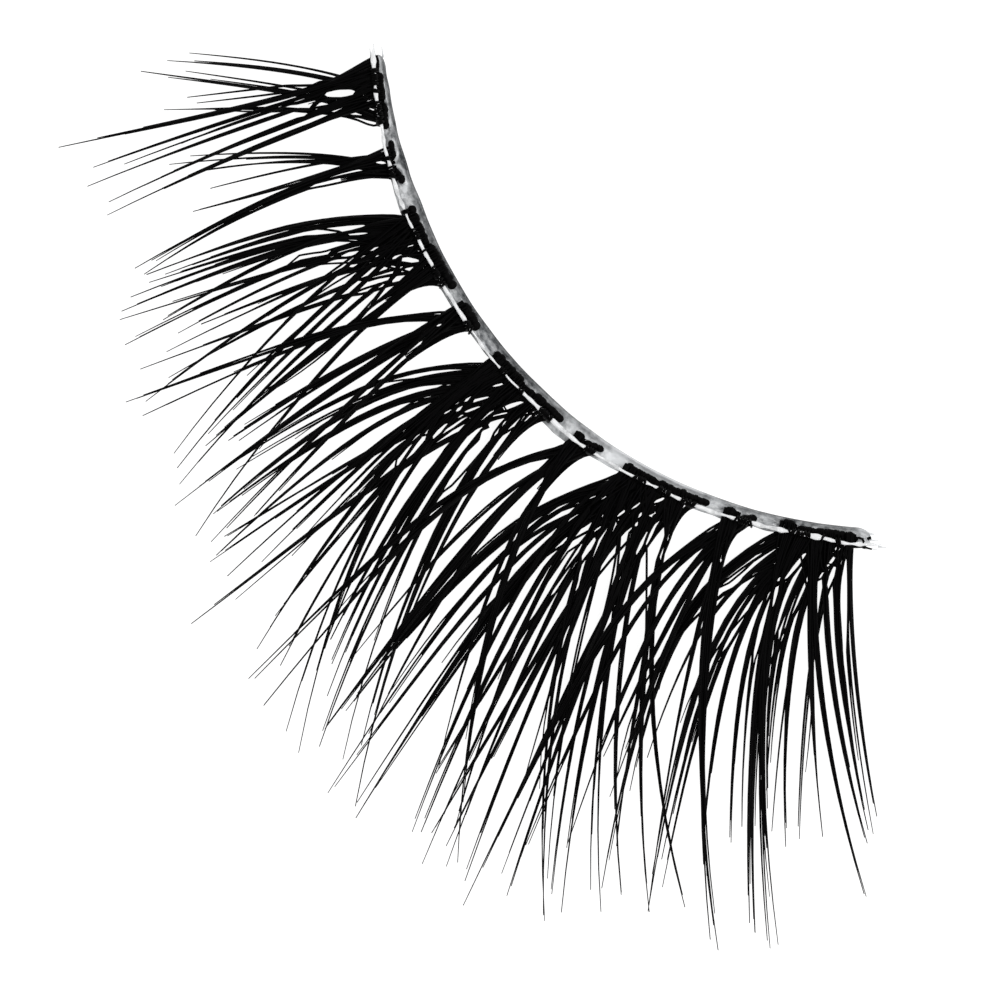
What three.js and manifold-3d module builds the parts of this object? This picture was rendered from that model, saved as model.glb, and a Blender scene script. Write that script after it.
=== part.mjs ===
// A false eyelash strip: a clear curved band that carries nine fans of black lash fibre.
// Millimetres, +Z up. The strip lies tips up, on the bellies of its lashes, with the band just clear.
// +X runs from the short-lash end to the long-lash end, and the lashes point towards -Y.
import * as THREE from 'three';
import { mergeVertices } from 'three/addons/utils/BufferGeometryUtils.js';
import Module from 'manifold-3d';

const wasm = await Module();
wasm.setup();

// Band: its length along the thread, and the angle that it turns through.
const BAND_LENGTH = 32;
const BAND_BEND = THREE.MathUtils.degToRad(87);
const BAND_RADIUS = BAND_LENGTH / BAND_BEND;
const BAND_STEPS = 48;

// Glue film: a clear strip under the roots, with a low rim along its concave edge.
const FILM_BACK = 0.72;
const FILM_FRONT = 0.20;
const FILM_THICKNESS = 0.11;
const RIM_WIDTH = 0.10;
const RIM_TOP_WIDTH = 0.08;
const RIM_HEIGHT = 0.16;

// Front thread: a clear monofilament over the roots.
const THREAD_DIAMETER = 0.24;
const THREAD_SIDES = 8;
const THREAD_TAIL = 0.5;
const THREAD_DROP_RUN = 0.35;
const THREAD_STEPS = 76;

// Root bars: the black knotted heads of the fans, on the film and behind the thread.
const BAR_BACK = 0.56;
const BAR_FRONT = 0.17;
const BAR_HEIGHT = 0.44;
const BAR_BEVEL = 0.07;
const BAR_STEP = 1.2;

// Locks: tapered strips of fibre, three-sided in section, in two rows. Those that lean towards the
// long-lash end lie over the others, so the rows cross without meeting.
const LONGEST_REACH = 18.5;
const LOCK_START = 0.36;
const LOCK_HEIGHT = 0.2;
const TIP_HEIGHT = 0.08;
const ROW_HEIGHT = 0.23;
const TIP_WIDTH = 0.07;
const BUNDLE_WIDTH = 0.08;
const HAIR_WIDTH = 0.06;
const TAPER_POWER = 1.6;
const SWEEP_FADE = 2.8;
const MID_SHARE = 0.4;
const RING_SHARES = [0.03, 0.09, 0.17, 0.28, 0.36, 0.52, 0.74];
const LAST_RING_GAP = 1.2;

// Curl: the lashes leave the band level, dip to the surface at the belly and rise towards their tips.
const TIP_RISE = 7.65;
const BELLY_REACH = 6;
const BELLY_FLAT = 0.08;
const ROOT_EASE = 1.2;

// Layers: where fans cross, one lies over the other by a layer's height.
const LAYER_HEIGHT = 0.5;
const NEAR_RISE = [0.3, 1.5];
const FAR_RISE = [3, 5.2];

// Gap that pieces keep where they touch.
const GAP = 0.035;

// Step for measuring a lock's direction, distance within which points are one, and size of the
// slivers that are smoothed away where locks meet.
const LOOK_AHEAD = 0.01;
const MERGE_DISTANCE = 1e-5;
const SLIVER_SIZE = 1e-3;

// Each fan: where its root bar runs along the band, whether it lies on a layer near the band (nearLayer)
// and farther out (farLayer), and its locks. Places are percent of BAND_LENGTH from the short-lash end.
// A lock's columns: root on the band, place at 40% of its reach, place of its tip,
// reach in percent of LONGEST_REACH, and hairs, which sets its width.
const FANS = [
  {
    bar: [0.2, 9.8], nearLayer: 0, farLayer: 0,
    locks: [
      [4.6, 1.1, -1.1, 42, 1],
      [5.2, 1.6, -0.4, 47, 3],
      [8.2, 3.6, 0.5, 53, 2],
      [3.0, 3.6, 4.1, 41, 1],
      [9.0, 5.8, 4.1, 48, 2],
      [0.6, 4.8, 6.5, 73, 4],
      [2.0, 5.4, 8.5, 66, 2],
      [3.6, 6.6, 10.0, 68, 2],
      [4.8, 7.8, 11.6, 64, 4],
      [6.4, 8.9, 12.6, 65, 3],
    ],
  },
  {
    bar: [11.5, 17.2], nearLayer: 1, farLayer: 1,
    locks: [
      [14.4, 11.1, 9.2, 49, 3],
      [15.2, 11.9, 10.1, 43, 3],
      [13.6, 12.3, 12.2, 41, 1],
      [12.2, 13.7, 14.1, 46, 2],
      [12.8, 14.4, 17.6, 62, 4],
      [16.0, 14.9, 18.2, 60, 3],
    ],
  },
  {
    bar: [20.4, 32.2], nearLayer: 0, farLayer: 1,
    locks: [
      [21.6, 18.1, 18.2, 60, 4],
      [23.0, 19.8, 19.1, 58, 3],
      [24.4, 20.4, 20.5, 68, 4],
      [26.4, 22.3, 21.1, 69, 2],
      [22.2, 20.9, 22.3, 60, 2],
      [25.2, 22.1, 23.1, 70, 4],
      [26.8, 23.6, 23.9, 58, 3],
      [27.2, 24.6, 25.1, 62, 3],
      [30.4, 26.9, 25.6, 69, 3],
      [24.0, 25.1, 28.0, 71, 3],
      [22.6, 26.2, 32.8, 71, 2],
      [25.6, 28.1, 34.0, 72, 3],
      [27.6, 30.1, 35.2, 73, 3],
      [30.8, 31.2, 33.6, 63, 4],
      [29.2, 33.0, 39.3, 77, 3],
    ],
  },
  {
    bar: [35.0, 38.9], nearLayer: 1, farLayer: 1,
    locks: [
      [35.6, 29.4, 27.3, 75, 4],
      [36.0, 30.1, 28.9, 73, 2],
      [37.2, 34.2, 34.1, 59, 4],
      [36.2, 35.4, 36.3, 76, 6],
      [35.5, 37.5, 40.4, 75, 3],
      [38.0, 38.1, 41.3, 70, 3],
    ],
  },
  {
    bar: [43.2, 55.2], nearLayer: 0, farLayer: 0,
    locks: [
      [44.4, 37.2, 35.9, 64, 3],
      [45.4, 38.3, 38.5, 71, 4],
      [46.8, 39.7, 38.6, 70, 5],
      [48.4, 40.9, 41.4, 76, 3],
      [50.4, 43.3, 41.4, 78, 2],
      [46.2, 42.7, 43.2, 77, 4],
      [45.0, 43.3, 44.1, 69, 3],
      [51.6, 45.7, 44.2, 90, 4],
      [44.4, 44.8, 48.9, 83, 4],
      [47.4, 45.9, 47.9, 75, 4],
      [45.6, 46.3, 51.0, 82, 3],
      [44.8, 46.8, 56.2, 94, 4],
      [47.2, 48.4, 52.5, 70, 4],
      [48.2, 49.6, 55.3, 80, 3],
      [49.6, 51.2, 57.1, 90, 4],
      [50.6, 52.7, 59.6, 84, 3],
      [51.4, 53.8, 61.6, 95, 3],
      [52.8, 53.0, 56.8, 58, 4],
    ],
  },
  {
    bar: [57.9, 62.4], nearLayer: 1, farLayer: 1,
    locks: [
      [58.8, 51.0, 49.9, 89, 3],
      [59.6, 51.7, 52.1, 91, 4],
      [60.6, 55.2, 54.7, 70, 3],
      [59.4, 56.4, 56.7, 86, 6],
      [60.4, 57.0, 59.4, 81, 4],
      [58.6, 60.0, 65.5, 79, 2],
      [61.2, 61.8, 69.9, 94, 3],
    ],
  },
  {
    bar: [65.9, 78.2], nearLayer: 0, farLayer: 1,
    locks: [
      [67.0, 57.9, 56.9, 80, 6],
      [68.0, 59.3, 59.7, 97, 4],
      [69.0, 60.6, 59.6, 94, 3],
      [70.0, 62.1, 62.2, 98, 6],
      [67.4, 64.3, 66.6, 93, 4],
      [69.0, 65.9, 65.4, 80, 4],
      [70.8, 66.4, 67.9, 98, 4],
      [68.6, 67.2, 69.4, 97, 4],
      [72.4, 68.3, 68.0, 92, 6],
      [70.0, 69.1, 70.9, 97, 4],
      [74.0, 71.9, 71.7, 103, 5],
      [73.2, 72.2, 73.2, 93, 3],
      [66.8, 69.7, 77.1, 98, 3],
      [71.8, 73.6, 78.1, 96, 4],
      [68.4, 70.7, 76.4, 90, 2],
      [70.8, 73.9, 80.8, 93, 4],
      [72.6, 74.9, 81.9, 88, 3],
      [73.6, 77.0, 83.2, 83, 3],
      [74.8, 77.6, 84.2, 90, 4],
    ],
  },
  {
    bar: [80.6, 84.6], nearLayer: 1, farLayer: 1,
    locks: [
      [81.8, 73.2, 71.8, 77, 5],
      [82.4, 74.7, 74.0, 85, 3],
      [83.0, 76.9, 76.8, 80, 4],
      [83.6, 79.3, 78.6, 68, 3],
      [81.4, 81.9, 84.0, 90, 3],
      [82.2, 83.6, 89.5, 94, 6],
    ],
  },
  {
    bar: [88.2, 99.8], nearLayer: 0, farLayer: 0,
    locks: [
      [89.4, 79.6, 80.4, 88, 5],
      [90.2, 82.4, 80.4, 57, 3],
      [91.0, 83.3, 84.0, 89, 5],
      [91.8, 84.4, 84.4, 82, 3],
      [92.6, 86.0, 86.8, 71, 4],
      [91.4, 87.4, 89.0, 71, 4],
      [90.6, 88.9, 91.5, 88, 5],
      [92.2, 89.6, 93.6, 92, 6],
      [94.6, 90.2, 91.6, 62, 4],
      [95.4, 92.0, 93.6, 70, 4],
      [97.0, 94.1, 94.5, 68, 2],
      [93.0, 93.9, 96.5, 67, 3],
      [93.8, 95.1, 100.1, 80, 4],
      [95.0, 96.0, 100.2, 68, 5],
      [96.2, 97.0, 100.3, 65, 6],
      [97.6, 98.4, 100.7, 62, 4],
    ],
  },
];

// The curl's radius takes the longest lock from the belly to its rise.
const LONGEST_SHARE = Math.max(...FANS.flatMap(({ locks }) => locks.map((lock) => lock[3]))) / 100;
const CURL_RUN = LONGEST_SHARE * LONGEST_REACH - BELLY_REACH;
const CURL_RADIUS = (CURL_RUN ** 2 + TIP_RISE ** 2) / (2 * TIP_RISE);

// Height of the curl's round section over its lowest point.
function roundHeight(depth) {
  const across = depth - BELLY_REACH;
  return CURL_RADIUS - Math.sqrt(CURL_RADIUS ** 2 - across ** 2);
}

const EASE_SLOPE = (BELLY_REACH - ROOT_EASE) / Math.sqrt(CURL_RADIUS ** 2 - (BELLY_REACH - ROOT_EASE) ** 2);

// Height of a lash's underside at a distance from the band. It is level at the root and flat at the belly.
function curlHeight(depth) {
  const fromEase = Math.max(ROOT_EASE - Math.max(depth, 0), 0);
  const eased = EASE_SLOPE * (fromEase - fromEase ** 2 / (2 * ROOT_EASE));
  return Math.max(roundHeight(Math.max(depth, ROOT_EASE)) + eased - BELLY_FLAT, 0);
}

const ROOT_LEVEL = curlHeight(0);

// A place on the strip: percent of the band along it, and millimetres out from the thread.
function place(along, depth, height) {
  const bearing = (along / 100 - 0.5) * BAND_BEND;
  const radius = BAND_RADIUS + depth;
  return new THREE.Vector3(radius * Math.sin(bearing), -radius * Math.cos(bearing), height);
}

// Closed solid through a row of rings with equal numbers of points, capped by the section's own triangles.
function loft(rings, section) {
  const sides = rings[0].length;
  const points = rings.flat().flatMap((point) => point.toArray());
  const faces = [];
  for (let ring = 0; ring + 1 < rings.length; ring += 1) {
    for (let side = 0; side < sides; side += 1) {
      const here = ring * sides + side;
      const next = ring * sides + (side + 1) % sides;
      faces.push(here, next + sides, next);
      faces.push(here, here + sides, next + sides);
    }
  }
  const last = (rings.length - 1) * sides;
  for (const [a, b, c] of THREE.ShapeUtils.triangulateShape(section, [])) {
    faces.push(a, b, c);
    faces.push(last + a, last + c, last + b);
  }
  const geometry = new THREE.BufferGeometry();
  geometry.setAttribute('position', new THREE.Float32BufferAttribute(points, 3));
  geometry.setIndex(faces);
  return geometry;
}

function toSolid(geometry) {
  const merged = mergeVertices(geometry, MERGE_DISTANCE);
  return new wasm.Manifold(new wasm.Mesh({
    numProp: 3,
    vertProperties: Float32Array.from(merged.getAttribute('position').array),
    triVerts: Uint32Array.from(merged.getIndex().array),
  }));
}

function toGeometry(solid) {
  const mesh = solid.getMesh();
  const geometry = new THREE.BufferGeometry();
  geometry.setAttribute('position', new THREE.Float32BufferAttribute(mesh.vertProperties, 3));
  geometry.setIndex(Array.from(mesh.triVerts));
  geometry.computeVertexNormals();
  return geometry;
}

// Sweeps a section of [out from the thread, height] points along the band.
function sweepAlongBand(from, to, steps, sectionAt) {
  const rings = [];
  for (let step = 0; step <= steps; step += 1) {
    const along = from + (to - from) * step / steps;
    rings.push(sectionAt(along).map(([depth, height]) => place(along, depth, height)));
  }
  const outline = sectionAt(from).map(([depth, height]) => new THREE.Vector2(depth, height));
  return loft(rings, outline);
}

// Glue film: level underside, rim at the back.
const FILM_BOTTOM = ROOT_LEVEL - GAP - FILM_THICKNESS;
const FILM_TOP = FILM_BOTTOM + FILM_THICKNESS;

function glueFilm() {
  const rimTop = FILM_TOP + RIM_HEIGHT;
  const section = [
    [-FILM_BACK, FILM_BOTTOM],
    [FILM_FRONT, FILM_BOTTOM],
    [FILM_FRONT, FILM_TOP],
    [-FILM_BACK + RIM_WIDTH, FILM_TOP],
    [-FILM_BACK + RIM_TOP_WIDTH, rimTop],
    [-FILM_BACK, rimTop],
  ];
  return sweepAlongBand(0, 100, BAND_STEPS, () => section);
}

// Front thread: over the roots of each fan, down towards the film between the fans.
function smooth(from, to, value) {
  return THREE.MathUtils.smoothstep(value, from, to);
}

function threadCover(along) {
  const beyond = FANS.map(({ bar }) => Math.max(bar[0] - along, along - bar[1], 0) * BAND_LENGTH / 100);
  return 1 - smooth(THREAD_DIAMETER / 2, THREAD_DIAMETER / 2 + THREAD_DROP_RUN, Math.min(...beyond));
}

function frontThread() {
  const radius = THREAD_DIAMETER / 2;
  const low = FILM_TOP + GAP + radius;
  const high = ROOT_LEVEL + ROW_HEIGHT + LOCK_HEIGHT + GAP + radius;
  const tail = THREAD_TAIL / BAND_LENGTH * 100;
  const section = (along) => {
    const middle = low + (high - low) * threadCover(along);
    const ring = [];
    for (let side = 0; side < THREAD_SIDES; side += 1) {
      const turn = 2 * Math.PI * side / THREAD_SIDES;
      ring.push([radius * Math.cos(turn), middle + radius * Math.sin(turn)]);
    }
    return ring;
  };
  return sweepAlongBand(-tail, 100 + tail, THREAD_STEPS, section);
}

// Root bar: a bevelled bar that lies along the film.
function rootBar([from, to]) {
  const bottom = ROOT_LEVEL;
  const top = bottom + BAR_HEIGHT;
  const section = [
    [-BAR_BACK, bottom],
    [-BAR_FRONT, bottom],
    [-BAR_FRONT, top - BAR_BEVEL],
    [-BAR_FRONT - BAR_BEVEL, top],
    [-BAR_BACK + BAR_BEVEL, top],
    [-BAR_BACK, top - BAR_BEVEL],
  ];
  const steps = Math.ceil((to - from) / 100 * BAND_LENGTH / BAR_STEP);
  return sweepAlongBand(from, to, steps, () => section);
}

// Where along the band a lock is at a distance out. It leaves the root slanted and straightens out.
function lockAlong([root, mid, tip, reachShare], depth) {
  const reach = reachShare / 100 * LONGEST_REACH;
  const midFade = Math.exp(-MID_SHARE * reach / SWEEP_FADE);
  const foot = (mid - MID_SHARE * tip - root * midFade) / (1 - MID_SHARE - midFade);
  const out = Math.max(depth, 0);
  return foot + (tip - foot) * out / reach + (root - foot) * Math.exp(-out / SWEEP_FADE);
}

function layerLift({ nearLayer, farLayer }, depth) {
  const layers = nearLayer * smooth(...NEAR_RISE, depth) + farLayer * smooth(...FAR_RISE, depth);
  return LAYER_HEIGHT * layers;
}

function lockSolid(fan, lock) {
  const [root, , tip, reachShare, hairs] = lock;
  const row = tip > root ? ROW_HEIGHT : 0;
  const reach = reachShare / 100 * LONGEST_REACH;
  const inner = RING_SHARES.map((share) => share * LONGEST_REACH).filter((depth) => depth < reach - LAST_RING_GAP);
  const rings = [-LOCK_START, ...inner, reach].map((depth) => {
    const here = place(lockAlong(lock, depth), depth, 0);
    const ahead = place(lockAlong(lock, depth + LOOK_AHEAD), depth + LOOK_AHEAD, 0);
    const across = new THREE.Vector3(here.y - ahead.y, ahead.x - here.x, 0).normalize();
    const spread = 1 - (Math.max(depth, 0) / reach) ** TAPER_POWER;
    const width = TIP_WIDTH + (BUNDLE_WIDTH + HAIR_WIDTH * hairs - TIP_WIDTH) * spread;
    const height = TIP_HEIGHT + (LOCK_HEIGHT - TIP_HEIGHT) * spread;
    const base = curlHeight(depth) + layerLift(fan, depth) + row;
    const left = here.clone().addScaledVector(across, width / 2).setZ(base);
    const right = here.clone().addScaledVector(across, -width / 2).setZ(base);
    return [left, right, here.clone().setZ(base + height)];
  });
  return toSolid(loft(rings, [new THREE.Vector2(-1, 0), new THREE.Vector2(1, 0), new THREE.Vector2(0, 1)]));
}

// A fan is its locks fused to its bar. The small pockets that crossing locks close off are filled:
// a pocket's shell is the one with a negative volume.
function lashFan(fan) {
  const pieces = [toSolid(rootBar(fan.bar)), ...fan.locks.map((lock) => lockSolid(fan, lock))];
  const shells = wasm.Manifold.union(pieces).decompose().filter((shell) => shell.volume() > 0);
  return toGeometry(wasm.Manifold.union(shells).simplify(SLIVER_SIZE));
}

// Materials.
const clearGlue = new THREE.MeshStandardMaterial({ color: 0xd9dadb, roughness: 0.18, metalness: 0 });
const clearThread = new THREE.MeshStandardMaterial({ color: 0xf2f3f4, roughness: 0.12, metalness: 0 });
const lashFibre = new THREE.MeshStandardMaterial({ color: 0x0b0a0b, roughness: 0.42, metalness: 0 });

const strip = new THREE.Group();

function addPiece(name, geometry, material) {
  const mesh = new THREE.Mesh(geometry, material);
  mesh.name = name;
  strip.add(mesh);
}

addPiece('glue_film', glueFilm(), clearGlue);
addPiece('front_thread', frontThread(), clearThread);
FANS.forEach((fan, index) => addPiece(`lash_fan_${index + 1}`, lashFan(fan), lashFibre));

// The origin is under the middle of the strip, on the surface that it lies on.
const box = new THREE.Box3().setFromObject(strip);
const middle = box.getCenter(new THREE.Vector3());
strip.position.set(-middle.x, -middle.y, -box.min.z);

export default strip;
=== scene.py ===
import math
import random

import bmesh
import bpy
from mathutils import Matrix, Vector, noise


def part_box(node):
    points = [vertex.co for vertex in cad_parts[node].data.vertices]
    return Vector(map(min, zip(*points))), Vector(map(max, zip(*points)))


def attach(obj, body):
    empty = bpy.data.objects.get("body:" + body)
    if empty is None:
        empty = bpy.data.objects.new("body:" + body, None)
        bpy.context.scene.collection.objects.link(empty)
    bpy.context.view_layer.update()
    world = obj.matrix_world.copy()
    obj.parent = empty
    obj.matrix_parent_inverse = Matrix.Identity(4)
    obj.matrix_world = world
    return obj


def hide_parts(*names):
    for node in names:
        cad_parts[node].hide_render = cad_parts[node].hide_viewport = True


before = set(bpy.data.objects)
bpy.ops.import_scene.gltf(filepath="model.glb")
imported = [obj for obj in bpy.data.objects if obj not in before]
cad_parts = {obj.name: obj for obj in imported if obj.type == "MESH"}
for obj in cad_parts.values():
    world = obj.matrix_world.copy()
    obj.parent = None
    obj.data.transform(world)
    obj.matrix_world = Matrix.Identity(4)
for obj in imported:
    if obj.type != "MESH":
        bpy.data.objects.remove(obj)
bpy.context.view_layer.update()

# Glue film: the strip of dried clear lash glue that every lash is set in, along the concave edge.
# It was spread wet on a former and peeled off, so it is thin, lumpy and glossy, with a raised back rim
# where the glue drew back as it dried.
MM = 0.001
BAND_LENGTH = 32 * MM
BAND_BEND = math.radians(87)
BAND_RADIUS = BAND_LENGTH / BAND_BEND
FILM_BACK = -0.72 * MM
FILM_FRONT = 0.20 * MM
FILM_THICKNESS = 0.11 * MM
RIM_WIDTH = 0.13 * MM
RIM_HEIGHT = 0.15 * MM
RIM_CREST = 0.6
RIM_SHARPNESS = 2.2
FILM_STEPS = 620
FILM_POINTS = 17
FILM_LUMP = 0.075 * MM
FILM_LUMP_LENGTH = 0.42 * MM
FINE_LUMP_SHARE = 0.5
FILM_EDGE_WAVE = 0.05 * MM
FILM_EDGE_WAVE_LENGTH = 1.3 * MM
BACK_WAVE_SHARE = 0.4
FILM_END_RUN = 0.5 * MM
FILM_END_WIDTH = 0.25

# The film's two edges: percent along the band from its short-lash end, and millimetres out from the
# thread. Minus is away from the lashes.
BACK_EDGE = [
    (0, -0.36), (2, -0.42), (5, -0.50), (10, -0.56), (16, -0.66), (21, -0.73), (48, -0.74), (62, -0.72),
    (76, -0.70), (88, -0.66), (94, -0.62), (98, -0.58), (100, -0.50)]
FRONT_EDGE = [
    (0, 0.2), (8, 0.06), (10, 0.0), (11, 0.02), (12, 0.16), (17, 0.19), (20, 0.22), (24, 0.15), (31, 0.1),
    (33, 0.05), (42, 0.03), (50, 0.12), (54, 0.31), (57.5, 0.33), (60, 0.2), (65, 0.1), (76, 0.1),
    (80, 0.07), (86, 0.05), (95, 0.16), (100, 0.22)]

# How grey the dried glue is along the band, from 0 for clear to 1.
HAZE = [
    (0, 0.6), (3, 0.95), (9, 0.9), (11, 0.8), (13, 1.0), (16, 1.0), (18.5, 0.75), (22, 0.85), (36, 0.95),
    (48, 0.95), (56, 0.65), (61, 0.4), (66, 0.15), (75, 0.2), (80, 0.6), (90, 0.85), (96, 0.75), (100, 0.3)]

# Lines of painted highlight, where the film is painted pale as if it caught the light: each a line through
# places in percent along and millimetres out.
HIGHLIGHT_LINE_WIDTH = 0.055 * MM
PAINTED_HIGHLIGHT_LINES = [
    [(0.2, -0.2), (2.2, -0.23), (3.2, -0.28), (4.5, -0.37), (6.3, -0.36)],
    [(7.0, -0.35), (8.2, -0.38), (9.4, -0.29)],
    [(11.5, -0.3), (12.2, -0.39), (13.2, -0.39), (14.0, -0.27), (14.3, -0.1)],
    [(14.6, -0.1), (15.0, -0.32), (15.6, -0.43), (16.5, -0.43), (17.4, -0.38)],
    [(17.9, -0.3), (18.4, -0.25)], [(18.7, -0.08), (19.1, -0.03)],
    [(33.2, -0.2), (34.6, -0.1)], [(41.0, -0.15), (42.4, -0.1)], [(55.2, -0.05), (56.2, 0.1)],
    [(57.4, -0.2), (58.6, -0.12)], [(84.9, -0.2), (85.3, -0.05)], [(90.1, -0.5), (90.6, -0.52)],
    [(91.2, -0.49), (91.8, -0.48)], [(92.4, -0.45), (93.6, -0.47)], [(94.6, -0.44), (96.0, -0.44)],
    [(97.0, -0.42), (97.9, -0.3)], [(98.6, -0.4), (99.2, -0.3)]]

film_low, film_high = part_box("glue_film")
film_bottom = film_low.z
film_top = film_bottom + FILM_THICKNESS
arc_centre = Vector(((film_low.x + film_high.x) / 2, film_low.y + BAND_RADIUS + FILM_FRONT, 0))


def to_length(percent):
    """Percent of the band, as metres along it."""
    return percent / 100 * BAND_LENGTH


def to_percent(length):
    """Metres along the band, as percent of it."""
    return length / BAND_LENGTH * 100


def bearing_at(along):
    """The angle at which the band's arc stands, a percentage along it."""
    return (along / 100 - 0.5) * BAND_BEND


def on_band(along, out, height):
    """A place on the strip: percent along the band, metres out from the thread, and height."""
    bearing = bearing_at(along)
    radius = BAND_RADIUS + out
    return arc_centre + Vector((radius * math.sin(bearing), -radius * math.cos(bearing), height))


def band_place(point):
    """How far along the band, in percent, and how far out from the thread a point is."""
    arm = point - arc_centre
    along = (math.atan2(arm.x, -arm.y) / BAND_BEND + 0.5) * 100
    return along, arm.xy.length - BAND_RADIUS


def smooth(start, end, value):
    """0 before start, 1 after end, and an even curve between."""
    share = min(max((value - start) / (end - start), 0), 1)
    return share * share * (3 - 2 * share)


def from_table(table, along):
    """A value read off a table of (percent along the band, value), evened out between its rows."""
    if along <= table[0][0]:
        return table[0][1]
    for (first, start), (last, end) in zip(table, table[1:]):
        if along <= last:
            return start + (end - start) * smooth(first, last, along)
    return table[-1][1]


def highlight_share(along, out):
    """How near a place is to a line of painted highlight: 1 on the line, 0 well off it."""
    place = Vector((to_length(along), out))
    share = 0
    for highlight_line in PAINTED_HIGHLIGHT_LINES:
        corners = [Vector((to_length(percent), line_out * MM)) for percent, line_out in highlight_line]
        for first, last in zip(corners, corners[1:]):
            part = (place - first).dot(last - first) / (last - first).length_squared
            gap = (place - first.lerp(last, min(max(part, 0), 1))).length
            share = max(share, math.exp(-(gap / HIGHLIGHT_LINE_WIDTH) ** 2))
    return share


def sweep_along_band(profile, first, last, steps):
    """A closed bar: a profile of (out, height) points, spun along the band's arc."""
    bar = bmesh.new()
    corners = [bar.verts.new(on_band(first, out, height)) for out, height in profile]
    section = bar.faces.new(corners)
    bmesh.ops.spin(
        bar, geom=[section], cent=arc_centre, axis=(0, 0, 1),
        angle=(last - first) / 100 * BAND_BEND, steps=steps)
    bmesh.ops.recalc_face_normals(bar, faces=bar.faces)
    return bar


def wobble(point, length, channel):
    """A smooth random value from about -1 to 1 that changes over the given length."""
    return noise.noise(point / length + Vector((0, 0, 17.3 * channel)))


def add_piece(name, shape, material):
    """Turns a finished bmesh into a smooth-shaded object with its material, on the root body."""
    mesh = bpy.data.meshes.new(name)
    shape.to_mesh(mesh)
    shape.free()
    mesh.polygons.foreach_set("use_smooth", [True] * len(mesh.polygons))
    mesh.materials.append(material)
    piece = bpy.data.objects.new(name, mesh)
    bpy.context.scene.collection.objects.link(piece)
    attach(piece, "root")
    return piece


def srgb(code, alpha=1.0):
    """A six-digit sRGB hex colour as Blender's linear colour."""
    channels = [int(code[i:i + 2], 16) / 255 for i in (0, 2, 4)]
    linear = [c / 12.92 if c <= 0.04045 else ((c + 0.055) / 1.055) ** 2.4 for c in channels]
    return (*linear, alpha)


def add_node(tree, kind, settings, inputs):
    """Adds a node: its settings, then its inputs, each a value or another node's output to link."""
    added = tree.nodes.new(kind)
    for name, value in settings.items():
        setattr(added, name, value)
    for name, value in inputs.items():
        if isinstance(value, bpy.types.NodeSocket):
            tree.links.new(value, added.inputs[name])
        else:
            added.inputs[name].default_value = value
    return added


def new_material(name):
    """An empty node material, and its tree."""
    material = bpy.data.materials.new(name)
    material.use_nodes = True
    material.node_tree.nodes.clear()
    return material, material.node_tree


film_profile = [(FILM_BACK, film_bottom), (FILM_FRONT, film_bottom)]
for step in range(FILM_POINTS + 1):
    share = step / FILM_POINTS
    across = FILM_FRONT + (FILM_BACK - FILM_FRONT) * share
    from_back = (across - FILM_BACK) / RIM_WIDTH
    rim = RIM_HEIGHT * math.exp(-((from_back - RIM_CREST) ** 2) * RIM_SHARPNESS)
    film_profile.append((across, film_top + rim))
film = sweep_along_band(film_profile, 0, 100, FILM_STEPS)
film_uv = film.loops.layers.uv.new("UVMap")
film_haze_and_highlight = film.verts.layers.float.new("haze")
film_share = {}
for vert in film.verts:
    along, out = band_place(vert.co)
    across_share = (out - FILM_BACK) / (FILM_FRONT - FILM_BACK)
    flat_place = Vector((to_length(along), out, 0))
    line_place = Vector((flat_place.x, 0, 0))
    if vert.co.z > film_bottom + FILM_THICKNESS / 2:
        lump = wobble(flat_place, FILM_LUMP_LENGTH, 0)
        lump += FINE_LUMP_SHARE * wobble(flat_place, FILM_LUMP_LENGTH / 2, 1)
        vert.co.z += FILM_LUMP * lump
    back_wave = FILM_EDGE_WAVE * wobble(line_place, FILM_EDGE_WAVE_LENGTH, 2)
    front_wave = FILM_EDGE_WAVE * wobble(line_place, FILM_EDGE_WAVE_LENGTH / 2, 3)
    back = from_table(BACK_EDGE, along) * MM + back_wave * BACK_WAVE_SHARE
    front = from_table(FRONT_EDGE, along) * MM + front_wave
    from_end = to_length(max(min(along, 100 - along), 0))
    end_round = math.sqrt(1 - (1 - min(from_end / FILM_END_RUN, 1)) ** 2)
    fullness = FILM_END_WIDTH + (1 - FILM_END_WIDTH) * end_round
    middle = (back + front) / 2
    true_out = middle + (front - back) * (across_share - 0.5) * fullness
    vert.co = on_band(along, true_out, vert.co.z)
    # The glue's greyness, taken away along the lines of painted highlight, so that the film is painted pale
    # there.
    vert[film_haze_and_highlight] = from_table(HAZE, along) * (1 - highlight_share(along, true_out))
    film_share[vert] = (to_length(along) / MM, across_share)
for face in film.faces:
    for loop in face.loops:
        loop[film_uv].uv = film_share[loop.vert]

# Strings of glue that were drawn out past both ends, where the strip was cut from its former: from and
# to in percent along the band, then out from the thread and radius in millimetres.
GLUE_STRINGS = [
    (0.4, -1.1, -0.33, 0.045), (0.3, -1.5, 0.02, 0.05), (0.6, -0.9, 0.17, 0.04), (99.2, 100.5, -0.36, 0.09),
    (99.0, 100.2, -0.15, 0.07), (99.4, 101.4, -0.08, 0.035), (99.0, 100.9, 0.27, 0.05),
    (101.0, 102.1, 0.2, 0.045)]
STRING_SIDES = 8
STRING_TIP = 0.25
STRING_DRIFT = 0.05 * MM
STRING_HEIGHT = 0.06 * MM
string_level = film_bottom + STRING_HEIGHT
for first, last, out, radius in GLUE_STRINGS:
    string_end = on_band(last, out * MM + STRING_DRIFT, string_level)
    run = string_end - on_band(first, out * MM, string_level)
    turn = run.to_track_quat("Z", "Y").to_matrix().to_4x4()
    bmesh.ops.create_cone(
        film, cap_ends=True, segments=STRING_SIDES, radius1=radius * MM, radius2=radius * STRING_TIP * MM,
        depth=run.length, matrix=Matrix.Translation(string_end - run / 2) @ turn)
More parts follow.
